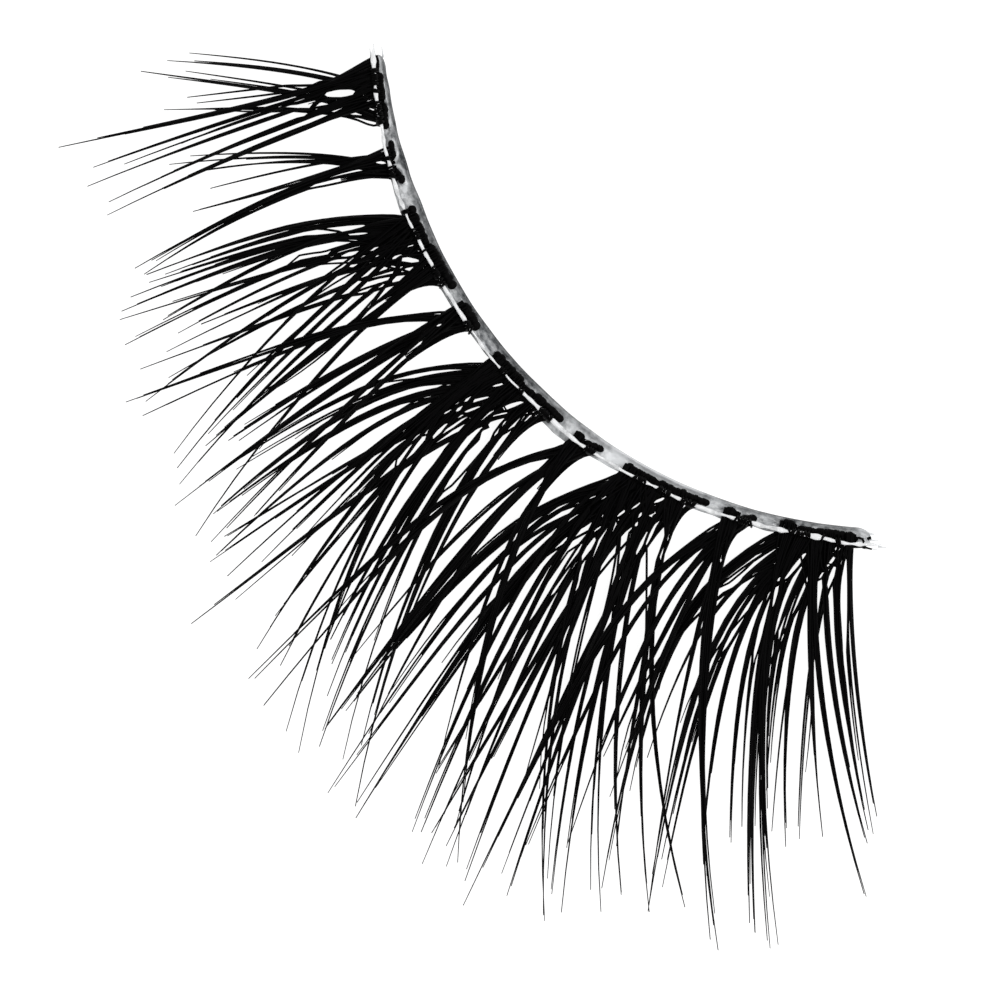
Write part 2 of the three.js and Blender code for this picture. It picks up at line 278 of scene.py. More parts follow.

# Dried acrylic lash glue: clear but not quite colourless, so it greys the white under it in soft blotches.
# Painted shade darkens it along the back rim, painted highlights lighten it along a few lines, and its
# wet-looking skin throws small white highlights.
# The darkest grey is painted shade along the back rim; the palest is the clear glue, and also the painted
# highlight along the highlight lines.
RIM_SHADE_GREY = "26282a"
GLUE_GREY = "515457"
GLUE_PALE_AND_HIGHLIGHT = "e6e8ea"
CLOUDS_PER_MM = 2.2
CLOUD_STRETCH = 1.3
CLEAR_AND_HIGHLIGHT_LIFT = 0.42
HAZE_LIFT = -0.06
GREY_LEVEL = 0.36
PALE_LEVEL = 0.78
RIM_SHADE_START = 0.03
RIM_SHADE_END = 0.17
PEBBLES_PER_MM = 6
PEBBLE_DEPTH = 0.04 * MM
glue, tree = new_material("dried_clear_lash_glue")
uv = add_node(tree, "ShaderNodeUVMap", {"uv_map": "UVMap"}, {})
stretch = add_node(tree, "ShaderNodeMapping", {}, {
    "Vector": uv.outputs["UV"], "Scale": (1, CLOUD_STRETCH, 1)})
cloud = add_node(tree, "ShaderNodeTexNoise", {}, {
    "Vector": stretch.outputs["Vector"], "Scale": CLOUDS_PER_MM, "Detail": 5, "Roughness": 0.62})
haze = add_node(tree, "ShaderNodeAttribute", {"attribute_name": "haze"}, {})
split = add_node(tree, "ShaderNodeSeparateXYZ", {}, {"Vector": uv.outputs["UV"]})
clear_and_highlight_share = add_node(tree, "ShaderNodeMapRange", {}, {
    "Value": haze.outputs["Fac"], "To Min": CLEAR_AND_HIGHLIGHT_LIFT, "To Max": HAZE_LIFT})
blotch = add_node(tree, "ShaderNodeMath", {"operation": "ADD"}, {
    0: cloud.outputs["Fac"], 1: clear_and_highlight_share.outputs["Result"]})
# Pale where the glue is clear, and painted highlight along the highlight lines.
pale_and_highlight = add_node(tree, "ShaderNodeMapRange", {}, {
    "Value": blotch.outputs["Value"], "From Min": GREY_LEVEL, "From Max": PALE_LEVEL})
body = add_node(tree, "ShaderNodeMix", {"data_type": "RGBA"}, {
    "Factor": pale_and_highlight.outputs["Result"], "A": srgb(GLUE_GREY), "B": srgb(GLUE_PALE_AND_HIGHLIGHT)})
# Painted shade: a dark line along the film's back rim, strongest where the glue is greyest.
rim_shade = add_node(tree, "ShaderNodeMapRange", {}, {
    "Value": split.outputs["Y"], "From Min": RIM_SHADE_START, "From Max": RIM_SHADE_END,
    "To Min": 1.0, "To Max": 0.0})
rim_shade_share = add_node(tree, "ShaderNodeMath", {"operation": "MULTIPLY"}, {
    0: rim_shade.outputs["Result"], 1: haze.outputs["Fac"]})
colour = add_node(tree, "ShaderNodeMix", {"data_type": "RGBA"}, {
    "Factor": rim_shade_share.outputs["Value"], "A": body.outputs["Result"], "B": srgb(RIM_SHADE_GREY)})
pebble = add_node(tree, "ShaderNodeTexNoise", {}, {
    "Vector": uv.outputs["UV"], "Scale": PEBBLES_PER_MM, "Detail": 3, "Roughness": 0.55})
skin = add_node(tree, "ShaderNodeBump", {}, {
    "Strength": 0.35, "Distance": PEBBLE_DEPTH, "Height": pebble.outputs["Fac"]})
surface = add_node(tree, "ShaderNodeBsdfPrincipled", {}, {
    "Base Color": colour.outputs["Result"], "Roughness": 0.14, "IOR": 1.47, "Transmission Weight": 0.1,
    "Normal": skin.outputs["Normal"]})
add_node(tree, "ShaderNodeOutputMaterial", {}, {"Surface": surface.outputs["BSDF"]})

glue_film = add_piece("film", film, glue)
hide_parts("glue_film")

# Lash fans: nine groups of black polyester fibre, five long ones with a short one between each two.
# Every fan is a row of hairs knotted side by side round the thread. Hairs that were pinched together
# keep to locks, which cross near the band and end in fine single tips.
#
# Places are percent of the band from its short-lash end, and reaches are percent of LONGEST_REACH.
# knots: rows of knots, from and to, millimetres out from the thread at both, and half their width in
#   millimetres. wraps: where hairs go over the thread, from and to.
# locks: root, place at MID_SHARE of its reach, place of its tip, reach, and how many hairs.
# partings: gaps between the hairs, place and reach of the near end and of the far end, and half the
#   width in millimetres.
# corners: hairs that leave the end of the knots and turn in along the fan's edge: place and
#   millimetres out at the start, at the bend and at the end, and how many. With a minus, each next
#   one lies nearer the short-lash end.
# strayed: how many hairs cross over from another lock's root. filled: how many short ones fill the
#   fan near the band. near, far: whether it lies over its neighbours near the band, and farther out.
# loose: ends of hair by themselves: thickness, and percent along, millimetres out, millimetres up.
FANS = {
    "fan_1": {
        "knots": [
            (0.2, 2.4, -0.09, -0.1, 0.08), (2.2, 6.3, -0.13, -0.17, 0.16), (6.3, 9.9, -0.17, -0.14, 0.16)],
        "wraps": [(1.9, 4.0), (4.6, 5.0), (6.2, 9.0)], "strayed": 4, "filled": 40,
        "partings": [
            (4.6, 4.5, 4.5, 12.5, 0.15), (9, 1.5, 7.8, 5.5, 0.05), (3.1, 14, 2.6, 24, 0.04),
            (5.8, 15, 5.3, 21, 0.04), (6.6, 16.5, 6.4, 21, 0.04)],
        "near": 0, "far": 0, "locks": [
        (4.6, 1.1, -1.1, 42, 1), (5.2, 1.6, -0.4, 47, 3), (7.2, 3.6, 0.7, 43, 1),
        (8.2, 3.6, 0.5, 53, 2), (8.6, 4.2, 1.2, 47, 1), (2.6, 3.0, 3.4, 43, 1),
        (3.0, 3.7, 4.1, 41, 1), (9.2, 5.8, 4.1, 48.5, 2), (1.2, 4.8, 6.5, 73, 4),
        (2.0, 5.4, 8.5, 66, 2), (2.6, 5.6, 8.7, 59, 1), (3.4, 6.6, 10, 68, 2),
        (4.6, 7.8, 11.6, 64, 4), (5.8, 8.9, 12.6, 65, 3)]},
    "fan_2": {
        "knots": [(11.5, 14.0, -0.2, -0.15, 0.15), (14.9, 17.3, -0.13, -0.24, 0.15)],
        "wraps": [(13.5, 14.0), (14.85, 16.3)], "strayed": 0, "filled": 6,
        "corners": [(16.7, 0.0, 15.3, 0.25, 15.1, 2.2, -4)],
        "partings": [
            (14.1, 1, 13.8, 3.2, 0.06), (14.85, 5.5, 14.6, 19.5, 0.06)],
        "near": 1, "far": 1, "locks": [
        (15.0, 11.0, 8.7, 44, 1), (15.4, 11.1, 9.2, 49, 2), (16.0, 11.9, 10.1, 43, 3),
        (13.2, 12.3, 12.2, 41, 1), (12.5, 13.7, 14.15, 46, 2), (13.6, 14.5, 17.6, 62, 4),
        (15.8, 14.9, 18.2, 60.5, 3), (15.3, 14.6, 17.4, 57, 1)]},
    "fan_3": {
        "knots": [(20.5, 26.3, -0.25, -0.29, 0.2), (26.2, 32.8, -0.37, -0.43, 0.24)],
        "wraps": [(20.8, 21.2), (23.5, 25.0), (26.6, 26.8), (29.1, 31.9)], "strayed": 20, "filled": 16,
        "corners": [(32.3, -0.1, 29.8, 0.15, 30.3, 2.3, -6)],
        "partings": [
            (27.5, 1.2, 26.3, 5.5, 0.13), (27.5, 5.5, 26.5, 8, 0.03), (23.4, 13.5, 23.2, 17, 0.08),
            (21.8, 9.5, 21.1, 14.5, 0.05), (20.9, 9, 19.2, 25, 0.12),
            (27.9, 8.5, 27.2, 14.5, 0.08), (28.4, 9.5, 27.7, 17.5, 0.05),
            (28.7, 13, 28.9, 26.5, 0.2), (29.9, 13, 30.4, 18.5, 0.06), (25.8, 5.5, 25.8, 7, 0.05),
            (24.7, 15, 24.6, 16.5, 0.05), (22.4, 19, 21.5, 27, 0.05),
            (26.5, 15.5, 27.1, 19.5, 0.05)],
        "near": 0, "far": 1, "locks": [
        (22.3, 18.3, 18.2, 60, 3), (22.9, 19.0, 18.6, 56, 4), (23.6, 19.8, 18.9, 60, 3),
        (24.2, 19.9, 19.75, 65, 3), (24.6, 20.4, 20.5, 68, 4), (26.5, 22.4, 21.05, 69, 2),
        (22.2, 20.6, 22.3, 60, 2), (24, 22.1, 23.1, 70, 4), (24.6, 23.0, 23.9, 58, 2),
        (27.6, 24.6, 23.9, 58, 2), (26, 24.6, 25.1, 62, 2), (24.5, 25.1, 28, 71, 3),
        (30.5, 26.9, 25.55, 69, 2), (28, 26.3, 27.05, 64, 2), (21.8, 26.2, 32.8, 71, 2),
        (23, 26.6, 30.2, 48, 2), (23.5, 28.0, 34, 72, 3), (24, 28.4, 33, 62, 3),
        (26.5, 30.0, 35.2, 73.5, 3), (28, 30.7, 33.5, 62, 3), (29.5, 31.2, 33.6, 64, 3),
        (28.5, 33.0, 39.3, 77, 3)]},
    "fan_4": {
        "knots": [(35.0, 39.4, -0.42, -0.36, 0.21)], "wraps": [(37.4, 39.0)], "strayed": 1, "filled": 6,
        "corners": [(38.9, -0.1, 37.1, 0.3, 37.35, 2.8, -5)],
        "partings": [
            (35.9, 4.3, 35.8, 5.6, 0.04), (36.6, 11, 36.4, 26, 0.15)],
        "near": 1, "far": 1, "locks": [
        (36.6, 29.8, 27.3, 75, 4), (37.2, 30.3, 28.9, 73, 2), (37.2, 34.3, 34.1, 59, 4),
        (36.6, 34.2, 33.6, 54, 2), (37.4, 34.5, 34.5, 57, 2), (36.4, 35.4, 36.35, 77, 5),
        (36.6, 35.6, 36.2, 70, 4), (35.0, 37.4, 40.4, 75, 3), (35.8, 38.1, 41.3, 70, 3)]},
    "fan_5": {
        "knots": [
            (42.9, 48.6, -0.33, -0.32, 0.2), (48.2, 51.2, -0.22, -0.3, 0.16),
            (50.6, 55.7, -0.31, -0.3, 0.19)],
        "wraps": [(45.1, 46.0), (48.7, 49.4), (52.5, 54.5)], "strayed": 22, "filled": 16,
        "corners": [(54.5, 0.0, 52.2, 0.3, 52.8, 2.7, -5)],
        "partings": [
            (46.8, 1, 46.1, 4, 0.06), (50.3, 0.5, 48.9, 5.5, 0.1), (46.9, 5.5, 45.7, 9, 0.045),
            (46.9, 8.5, 46.1, 12.5, 0.06), (49.9, 5, 48.7, 8.5, 0.045),
            (50.2, 6, 48.9, 10.5, 0.045), (50.2, 8.5, 49.1, 13, 0.05),
            (45.4, 12, 45.4, 13.7, 0.06), (45.2, 9.3, 45.2, 10.8, 0.05),
            (50.6, 9, 49.7, 19.5, 0.08), (51.6, 10, 52.1, 20, 0.09), (50.4, 11, 50.8, 28, 0.06),
            (45.7, 17, 45.9, 22, 0.07), (45.2, 22, 45.4, 32, 0.16), (47.4, 21, 47.7, 30, 0.17)],
        "near": 0, "far": 0, "locks": [
        (44.8, 37.2, 35.9, 64, 3), (46, 38.4, 36.4, 61, 4), (47.4, 38.4, 38.5, 71, 5),
        (48.5, 39.7, 38.6, 70, 5), (48.8, 40.9, 41.4, 76, 3), (50, 43.1, 40.6, 72, 2),
        (50.5, 43.3, 41.4, 78, 3), (46.5, 42.7, 43.2, 77, 4), (44, 43.0, 44.1, 69, 3),
        (44.5, 43.5, 44.7, 58, 4), (45, 44.3, 45.3, 63, 3), (52, 45.7, 44.15, 90, 4),
        (50, 45.6, 44.95, 79, 1), (44, 44.8, 48.9, 83, 4), (46.5, 45.9, 47.9, 75, 4),
        (45.5, 46.2, 51, 82, 3), (44.6, 46.8, 56.2, 94, 4), (44.4, 46.5, 54.6, 92, 3),
        (45.4, 46.8, 52.7, 74, 3), (47.5, 48.4, 52.5, 70, 4), (48, 48.9, 53.8, 74, 3),
        (47.8, 49.6, 55.3, 80, 3), (49.5, 51.0, 57.1, 90, 4), (49.2, 51.4, 59.1, 89, 2),
        (50.4, 52.7, 59.6, 84, 3), (50.8, 53.8, 61.7, 96, 3), (52.2, 53.0, 56.8, 58, 4)]},
    "fan_6": {
        "knots": [(58.0, 59.3, -0.3, -0.27, 0.14), (59.5, 62.6, -0.14, -0.28, 0.15)],
        "wraps": [(60.3, 61.7)], "strayed": 1, "filled": 6,
        "corners": [(61.9, 0.0, 59.5, 0.3, 59.35, 2.6, -6)],
        "partings": [
            (58.4, 11.5, 57.6, 30, 0.2)],
        "near": 1, "far": 1, "locks": [
        (60.2, 51.0, 49.9, 89, 3), (60.4, 51.7, 52.1, 91, 4), (60.3, 51.2, 50.3, 88, 1),
        (60.8, 55.2, 54.7, 70, 3), (59.5, 56.4, 56.7, 86, 6), (59.6, 56.7, 56.9, 76, 5),
        (59.8, 57.0, 59.4, 81, 4), (58.2, 60.0, 65.5, 79, 2), (58.9, 61.8, 70, 95, 3),
        (58.4, 60.3, 66, 70, 2)]},
    "fan_7": {
        "knots": [(65.9, 71.0, -0.31, -0.31, 0.17), (70.8, 78.2, -0.31, -0.33, 0.17)],
        "wraps": [(67.7, 69.3), (71.2, 73.0), (74.6, 76.5)], "strayed": 26, "filled": 12,
        "corners": [(76.9, -0.05, 75.0, 0.1, 75.1, 1.6, -4)],
        "partings": [
            (68.6, 2, 68.1, 3.2, 0.06), (72.4, 0.6, 71.5, 3, 0.1), (72.3, 4.7, 71.5, 6.2, 0.035),
            (69.9, 4.2, 69.3, 6.7, 0.05), (70.6, 6, 70.6, 7.3, 0.05), (70.7, 8.4, 70.7, 9.6, 0.05),
            (68.7, 7, 68.2, 9.8, 0.06), (70.4, 10, 69.8, 13, 0.05), (67.1, 13, 66.7, 15, 0.04),
            (67.2, 15.5, 67, 22, 0.1), (72.3, 9, 72.2, 15.5, 0.07), (72.8, 6.5, 72.8, 12.5, 0.06),
            (74.6, 4, 74.9, 14, 0.06), (74, 7, 73.9, 20, 0.2), (65.5, 21.5, 65.6, 40, 0.08),
            (66.2, 18.5, 66.2, 33, 0.07), (65.8, 4.6, 61.2, 16, 0.1), (66.1, 5.4, 64.7, 11.5, 0.04),
            (64.9, 5.6, 62.4, 9.6, 0.025), (64.5, 18.5, 63.5, 29, 0.07)],
        "near": 0, "far": 1, "locks": [
        (68, 57.9, 56.9, 80, 5), (68.2, 59.3, 57.0, 62, 3), (68.6, 59.3, 59.7, 97, 3),
        (69, 60.6, 59.65, 95, 3), (69.5, 62.1, 62.25, 98, 6), (69.3, 61.8, 61.65, 95, 3),
        (70.5, 62.9, 62.1, 90, 3), (65.6, 63.2, 66.05, 94, 3), (66.5, 64.35, 66.6, 93, 4),
        (67, 65.1, 68.6, 88, 4), (69.5, 65.9, 65.4, 80, 4), (69, 66.2, 67.9, 99, 4),
        (69.5, 67.1, 69.4, 97, 4), (72, 68.1, 67.3, 92, 4), (71, 68.5, 68.8, 93, 6),
        (70, 69.0, 70.95, 98, 4), (67.5, 69.2, 72, 75, 3), (66.2, 69.1, 77.3, 99, 3),
        (66.5, 69.8, 77, 98, 3), (67.5, 70.6, 76.4, 90, 2), (74, 71.9, 71.7, 103, 5),
        (73, 72.2, 73.2, 93, 3), (72, 72.4, 74.2, 97, 3), (71, 72.4, 77, 93, 3),
        (72.5, 73.6, 78.1, 96, 4), (70.5, 73.7, 79.7, 89, 3), (71, 73.9, 80.8, 93, 4),
        (71.5, 74.9, 81.9, 88, 3), (73.5, 77.4, 84.2, 90, 4), (73, 76.9, 80.4, 78, 3),
        (74.3, 77.9, 86.7, 87, 3)]},
    "fan_8": {
        "knots": [(80.5, 82.0, -0.35, -0.33, 0.17), (82.5, 84.8, -0.17, -0.29, 0.16)],
        "wraps": [(82.1, 84.1)], "strayed": 1, "filled": 6,
        "corners": [(84.4, -0.05, 82.0, 0.25, 82.15, 1.7, -6)],
        "partings": [
            (81.5, 5, 81.8, 10, 0.06)],
        "near": 1, "far": 1, "locks": [
        (82.4, 73.2, 71.8, 77, 5), (82.6, 74.6, 74, 85, 3), (82.6, 76.9, 76.8, 81, 4),
        (82.5, 78.7, 77, 60, 3), (82.2, 79.3, 78.6, 68, 3), (81.5, 81.9, 84, 90, 3),
        (81, 83.6, 89.6, 95, 6), (81.6, 83.9, 88.9, 93, 3)]},
    "fan_9": {
        "knots": [(88.1, 90.0, -0.45, -0.4, 0.15), (90.2, 97.8, -0.27, -0.25, 0.16)],
        "wraps": [(89.3, 90.0), (90.3, 92.1), (93.7, 94.0), (95.6, 96.0)],
        "loose": [
            (1.0, [(97.6, -0.05, 0.1), (98.0, -0.13, 0.12), (98.5, -0.15, 0.13), (98.95, -0.1, 0.13),
                   (99.1, 0.0, 0.12), (98.9, 0.1, 0.1), (98.4, 0.13, 0.08), (98.1, 0.08, 0.06),
                   (98.05, -0.02, 0.05), (98.3, -0.1, 0.04)]),
            (1.3, [(97.5, 0.22, 0.05), (98.2, 0.22, 0.02), (98.9, 0.2, 0.0), (99.4, 0.24, 0.0)]),
            (0.7, [(99.0, 0.2, 0.02), (99.5, 0.25, 0.01), (99.9, 0.29, 0.0), (100.2, 0.31, 0.0)]),
            (1.25, [(99.6, -0.1, 0.1), (99.85, -0.15, 0.12), (100.05, -0.16, 0.1)])],
        "strayed": 12, "filled": 14,
        "partings": [
            (92, 3, 89.6, 11, 0.09), (92.7, 7.5, 90, 24, 0.12), (95.6, 3.7, 94.6, 6.3, 0.06),
            (95.7, 5.5, 95, 11, 0.1), (96.9, 3.3, 97.5, 28, 0.09), (94.3, 7, 93.9, 9, 0.05),
            (86.4, 4.7, 82.7, 15.5, 0.09), (85.4, 8, 84.4, 14, 0.03), (87, 10.5, 84.6, 30, 0.13),
            (89.1, 9.5, 89, 17, 0.07), (88.4, 6.5, 88.1, 8.3, 0.04), (88.4, 11.5, 88, 30, 0.09)],
        "near": 0, "far": 0, "locks": [
        (88.8, 79.0, 80.4, 88, 5), (89.6, 80.1, 80, 66, 4), (91.4, 82.5, 80.4, 57, 3),
        (92, 83.3, 84, 89, 5), (92.3, 84.3, 84.1, 78, 3), (92.6, 84.7, 84.6, 84, 3),
        (92.6, 86, 86.8, 71, 4), (92, 87.4, 89, 71, 4), (91, 88, 89.7, 67, 3),
        (91, 88.9, 91.5, 88, 5), (92, 89.3, 92, 90, 6), (89.5, 89.6, 93.7, 92, 6),
        (91.2, 89.8, 93.2, 93, 3), (94.5, 90.2, 91.6, 62, 4), (95, 91, 91.3, 58, 3),
        (95.4, 92, 93.6, 70, 5), (95.2, 92, 92.2, 67, 1), (92.4, 93.9, 96.5, 67, 3),
        (97, 94.1, 94.5, 68, 2), (93.2, 95.1, 100.1, 80, 3), (94.4, 96, 100.2, 68, 4),
        (95.8, 97, 100.3, 65, 5), (97.2, 97.9, 100.5, 66, 2), (97.6, 98.4, 100.9, 62, 2)]},
}

# The sweep of a lock, its curl, and the layers in which rows and fans cross.
LONGEST_REACH = 18.5 * MM
SWEEP_FADE = 2.8 * MM
MID_SHARE = 0.4
TIP_RISE = 7.65 * MM
LONGEST_SHARE = 1.03
BELLY_REACH = 6 * MM
BELLY_FLAT = 0.08 * MM
ROOT_EASE = 1.2 * MM
LAYER_HEIGHT = 0.5 * MM
NEAR_RISE = (0.3 * MM, 1.5 * MM)
FAR_RISE = (3 * MM, 5.2 * MM)
ROW_HEIGHT = 0.23 * MM
ROW_SCATTER = 0.16 * MM
CURL_VARIATION = (0.975, 1.0)
curl_run = LONGEST_SHARE * LONGEST_REACH - BELLY_REACH
curl_radius = (curl_run ** 2 + TIP_RISE ** 2) / (2 * TIP_RISE)

# One hair: as thick as real lash fibre, four-sided, and tapered to its tip.
HAIR_RADIUS = 0.055 * MM
HAIR_VARIATION = (0.88, 1.12)
HAIR_SEGMENTS = 16
HAIR_STEP_POWER = 1.5
HAIR_TIP = 0.32
HAIR_TAPER = 2.6
LOWEST_HAIR = 1.1 * HAIR_RADIUS
LOOK_AHEAD = 0.01 * MM

# Hairs in a lock: spread over their knots, pinched together above them, and stepped at their tips.
# A slit is a narrow gap that opens between two hairs of a lock.
ROOT_PITCH = 0.13 * MM
ROOT_GATHER = 1.2 * MM
ROOT_INSET = 0.2
HAIR_PITCH = 0.044 * MM
SLIT_WIDTH = (0.0, 0.07 * MM)
SLIT_START = (0.08, 0.35)
SLIT_RUN = 0.2
SLIT_CLOSE = 0.7
TIP_SPREAD = 0.05 * MM
LONE_TIP_SHARE = 0.3
TIP_SPREAD_START = 0.4
TIP_CLOSE = 0.35
TIP_STAGGER = 0.3

# Hairs that don't keep to a lock's length or line: shorter, strayed, and filling ones.
SIDE_SPREAD = 0.5
HAIRS_TO_A_SHORT = 3
SHORT_REACH = (0.4, 0.72)
STRAY_SPREAD = 0.6
STRAY_REACH = (0.45, 0.8)
STRAY_FADE = (2.6 * MM, 5.5 * MM)
STRAY_SHIFT = 8
FILL_REACH = (0.12, 0.4)
FILL_SHIFT = 0.8
LOOSE_LEVEL = 0.1

# A parting pushes aside the hairs that run along it. A hair that crosses it goes on as it was.
PARTING_SLIP = 0.14 * MM
SHORT_PARTING = 9
SHORT_SLACK = 1.5
PARTING_PUSH = 2.5
PARTING_MARGIN = 0.1 * MM
PARTING_ROUND = 0.6
PARTING_SAMPLES = (0.12, 0.5, 0.88)

CORNER_SEGMENTS = 10
CORNER_SPACING = 1.3
CORNER_LIFT = (0.03 * MM, 0.06 * MM)
CORNER_TAPER = 0.5

KNOT_PITCH = 0.16 * MM
KNOT_LENGTH = 0.2 * MM
KNOT_HEIGHT = 0.17 * MM
KNOT_SIDES = 10
KNOT_RINGS = 7
LENGTH_VARIATION = (0.85, 1.1)
WIDTH_VARIATION = (0.82, 1.12)
HEIGHT_VARIATION = (0.88, 1.1)
KNOT_LIFT = 0.05 * MM
KNOT_TURN = 0.3
KNOT_SLIP = 0.03 * MM
KNOT_SHIFT = 0.15
KNOT_EXIT = (0.1, 0.5)

WRAP_SEGMENTS = 8
WRAP_SPACING = (0.05 * MM, 0.13 * MM)
WRAP_REACH = 0.17 * MM
WRAP_SLANT = 0.5
WRAP_OVER = 0.4
WRAP_FOOT = 0.02
WRAP_THICKNESS = 0.95

# The line of the thread that the hairs are wrapped round: percent along, and millimetres out.
THREAD_PATH = [
    (-2, 0.05), (0, 0.09), (4, 0.08), (8, 0.06), (13, 0.08), (17, 0.07), (22, 0.02), (25, -0.04),
    (28, -0.10), (32, -0.11), (36, -0.11), (40, -0.08), (44, -0.05), (52, -0.05), (59, 0.03), (63, -0.03),
    (67, -0.04), (71, -0.09), (74, -0.05), (78, -0.06), (82, -0.09), (89, -0.10), (93, -0.06),
    (95.5, 0.05), (97, 0.10), (102, 0.12)]
thread_low, thread_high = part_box("front_thread")

vary = random.Random(23)


def curl_height(out):
    """Height of a lash's underside: level at the root, flat at the belly, and round from there."""
    ease_run = BELLY_REACH - ROOT_EASE
    ease_slope = ease_run / math.sqrt(curl_radius ** 2 - ease_run ** 2)
    from_ease = max(ROOT_EASE - max(out, 0), 0)
    eased = ease_slope * (from_ease - from_ease ** 2 / (2 * ROOT_EASE))
    across = max(out, ROOT_EASE) - BELLY_REACH
    round_height = curl_radius - math.sqrt(curl_radius ** 2 - across ** 2)
    return max(round_height + eased - BELLY_FLAT, 0)


root_level = curl_height(0)


def lock_along(lock, out, fade):
    """Where along the band a lock is, at a distance out. It leaves its root slanted and straightens."""
    root, mid, tip, reach_share, _ = lock
    reach = to_reach(reach_share)
    mid_fade = math.exp(-MID_SHARE * reach / fade)
    foot = (mid - MID_SHARE * tip - root * mid_fade) / (1 - MID_SHARE - mid_fade)
    out = max(out, 0)
    return foot + (tip - foot) * out / reach + (root - foot) * math.exp(-out / fade)


def to_reach(percent):
    """Percent of the longest lashes' reach, as metres out from the thread."""
    return percent / 100 * LONGEST_REACH


def percent_length(out):
    """The length of one percent of the band, at a distance out from the thread."""
    return BAND_LENGTH / 100 * (1 + out / BAND_RADIUS)


def through_parting(parting, out):
    """How far through a parting a distance out is, from 0 to 1, and where its middle line is there."""
    near_along, near_reach, far_along, far_reach, _ = parting
    share = (out / LONGEST_REACH * 100 - near_reach) / (far_reach - near_reach)
    return share, near_along + (far_along - near_along) * share


def knot_start(fan, along):
    """Where a hair leaves its knot: the middle of the row of knots, out from the thread."""
    rows = sorted(fan["knots"], key=lambda row: max(row[0] - along, along - row[1]))
    first, last, first_out, last_out, half_width = rows[0]
    share = min(max((along - first) / (last - first), 0), 1)
    return (first_out + (last_out - first_out) * share - half_width * vary.uniform(*KNOT_EXIT)) * MM


def add_hair(curve, fan, lock, side, reach_part, fade=SWEEP_FADE, slit=(0, 0, 0)):
    """One tapered fibre, from its knot to its tip. side is its place across the lock, in hairs."""
    root, _, tip, reach_share, hairs = lock
    reach = to_reach(reach_share) * reach_part
    thickness = vary.uniform(*HAIR_VARIATION)
    tip_drift = vary.uniform(-1, 1) * TIP_SPREAD * (LONE_TIP_SHARE if hairs == 1 else 1)
    tip_side = side * HAIR_PITCH * TIP_CLOSE + tip_drift
    level = (ROW_HEIGHT if tip > root else 0) + vary.uniform(0, ROW_SCATTER)
    lean = vary.uniform(*CURL_VARIATION)
    first, last = fan["knots"][0][0], fan["knots"][-1][1]
    own_root = min(max(root + to_percent(side * ROOT_PITCH), first + ROOT_INSET), last - ROOT_INSET)
    start = knot_start(fan, own_root)
    slit_side, slit_width, slit_start = slit
    apart = math.copysign(slit_width / 2, side - slit_side)

    def path(out):
        """Where the hair would be at a distance out, if the fan had no partings."""
        gather = (own_root - root) * math.exp(-(max(out, 0) / ROOT_GATHER) ** 2)
        here = on_band(lock_along(lock, out, fade) + gather, out, 0)
        ahead_out = out + LOOK_AHEAD
        ahead = on_band(lock_along(lock, ahead_out, fade) + gather, ahead_out, 0)
        forward = (ahead - here).normalized()
        spread = smooth(TIP_SPREAD_START, 1, (out - start) / (reach - start))
        across = side * HAIR_PITCH * (1 - spread) + tip_side * spread
        opened = smooth(slit_start, slit_start + SLIT_RUN, out / reach)
        across += apart * opened * (1 - SLIT_CLOSE * spread)
        return here + Vector((-forward.y, forward.x, 0)) * across

    def off_parting(parting, out):
        """How far along the band the hair is from a parting's middle line, at a distance out."""
        _, centre = through_parting(parting, out)
        return (band_place(path(out))[0] - centre) * percent_length(out)

    beside = []
    steps = [(step / HAIR_SEGMENTS) ** HAIR_STEP_POWER for step in range(HAIR_SEGMENTS + 1)]
    outs = [start + (reach - start) * step for step in steps]
    for parting in fan["partings"]:
        near_end, far_end = to_reach(parting[1]), to_reach(parting[3])
        half_width = parting[4] * MM
        middle = (near_end + far_end) / 2
        away = off_parting(parting, middle)
        side_of = math.copysign(1, away)
        slip = min(side_of * off_parting(parting, near_end), side_of * off_parting(parting, far_end))
        short = parting[3] - parting[1] < SHORT_PARTING
        slack = PARTING_SLIP + (SHORT_SLACK * half_width if short else 0)
        if middle < reach and abs(away) < PARTING_PUSH * half_width + PARTING_MARGIN and slip > -slack:
            beside.append((parting, side_of))
            outs += [near_end + (far_end - near_end) * part for part in PARTING_SAMPLES]
    outs = sorted(out for out in outs if out <= reach)
    spline = curve.splines.new("POLY")
    spline.points.add(len(outs) - 1)
    for out, point in zip(outs, spline.points):
        share = (out - start) / (reach - start)
        along, true_out = band_place(path(out))
        for parting, side_of in beside:
            part_share, centre = through_parting(parting, out)
            if 0 < part_share < 1:
                half_width = parting[4] * MM * math.sin(math.pi * part_share) ** PARTING_ROUND
                clear = (half_width + HAIR_RADIUS) / percent_length(out)
                along = centre + side_of * max(side_of * (along - centre), clear)
        lift = fan["near"] * smooth(*NEAR_RISE, out) + fan["far"] * smooth(*FAR_RISE, out)
        height = curl_height(out) * lean + LAYER_HEIGHT * lift + level + HAIR_RADIUS
        point.co = (*on_band(along, true_out, max(height, LOWEST_HAIR)), 1)
        point.radius = thickness * (1 - (1 - HAIR_TIP) * share ** HAIR_TAPER)


def add_corner(curve, corner):
    """Hairs of a fan's outer corner, which leave the end of its knots and turn in along its edge."""
    first, first_out, bend, bend_out, last, last_out, hairs = corner
    for hair in range(abs(hairs)):
        inward = to_percent(math.copysign(hair * HAIR_PITCH * CORNER_SPACING, hairs))
        spline = curve.splines.new("POLY")
        spline.points.add(CORNER_SEGMENTS)
        for step, point in enumerate(spline.points):
            share = step / CORNER_SEGMENTS
            weights = ((1 - share) ** 2, 2 * share * (1 - share), share ** 2)
            along = weights[0] * first + weights[1] * bend + weights[2] * last + inward
            out = (weights[0] * first_out + weights[1] * bend_out + weights[2] * last_out) * MM
            height = curl_height(out) + HAIR_RADIUS + vary.uniform(*CORNER_LIFT)
            point.co = (*on_band(along, out, height), 1)
            point.radius = 1 - CORNER_TAPER * share ** 2


